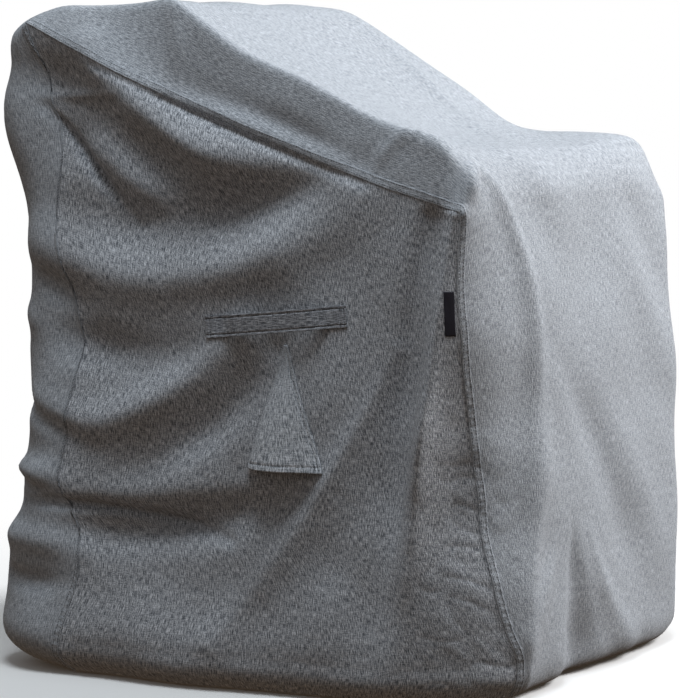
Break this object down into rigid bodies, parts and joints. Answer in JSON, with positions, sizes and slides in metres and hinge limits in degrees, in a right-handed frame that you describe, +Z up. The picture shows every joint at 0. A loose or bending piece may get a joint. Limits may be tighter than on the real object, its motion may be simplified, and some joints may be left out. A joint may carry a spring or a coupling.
{
  "type": "stacking chair cover",
  "caption": "Fitted fabric cover for a stack of garden armchairs, low at the front and high at the back, hanging in soft folds, with a strap handle and a vent hood on each side",
  "frame": {"origin": "middle of the cover's footprint, at the height of its hem", "axes": "+Z up, front (the low side) towards -Y, the side with the label towards -X"},
  "size_m": [0.7782, 0.8232, 0.9439],
  "materials": {
    "strip_cloth": "matte",
    "side_cloth": "matte",
    "handle_webbing": "matte",
    "vent_cloth": "matte",
    "label_satin": "satin"
  },
  "bodies": {
    "root": {"centre_strip": "strip_cloth", "side_panel_left": "side_cloth", "side_panel_right": "side_cloth", "handle_left": "handle_webbing", "handle_right": "handle_webbing", "vent_hood_left": "vent_cloth", "vent_hood_right": "vent_cloth", "side_label": "label_satin"}
  },
  "joints": []
}
